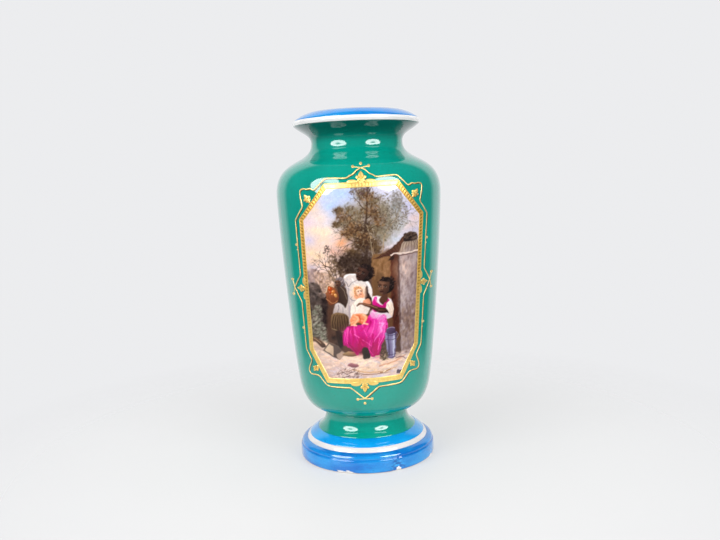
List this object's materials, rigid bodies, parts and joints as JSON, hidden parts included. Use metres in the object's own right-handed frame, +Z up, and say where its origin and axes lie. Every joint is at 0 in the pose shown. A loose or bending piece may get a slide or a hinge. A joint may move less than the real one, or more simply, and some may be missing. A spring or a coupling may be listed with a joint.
{
  "type": "porcelain vase",
  "caption": "Tall baluster vase in glazed porcelain, its body bolted to a turned foot, with enamel grounds and a gilt-framed painted panel.",
  "frame": {"origin": "centre of the foot's underside, on the surface that the vase stands on", "axes": "+Z up along the vase's axis; the painted panel faces -Y, and +X is to the right of a viewer who faces the panel"},
  "size_m": [0.1708, 0.1708, 0.3602],
  "materials": {
    "porcelain": "gloss",
    "green_ground": "gloss",
    "deep_blue_enamel": "gloss",
    "sky_blue_enamel": "gloss",
    "painting": "gloss",
    "gilding": "satin",
    "steel": "satin",
    "cork": "matte"
  },
  "bodies": {
    "root": {"body": "porcelain", "foot": "porcelain", "seat_gasket": "cork", "tie_bolt": "steel", "upper_cork_washer": "cork", "upper_washer": "steel", "lower_cork_washer": "cork", "lower_washer": "steel", "nut": "steel", "body_green_ground": "green_ground", "rim_blue_enamel": "deep_blue_enamel", "foot_green_ground": "green_ground", "foot_sky_blue_enamel": "sky_blue_enamel", "foot_deep_blue_enamel": "deep_blue_enamel", "painted_panel": "painting", "gilt_frame": "gilding", "gilt_outline": "gilding", "gilt_leaves": "gilding"}
  },
  "joints": []
}
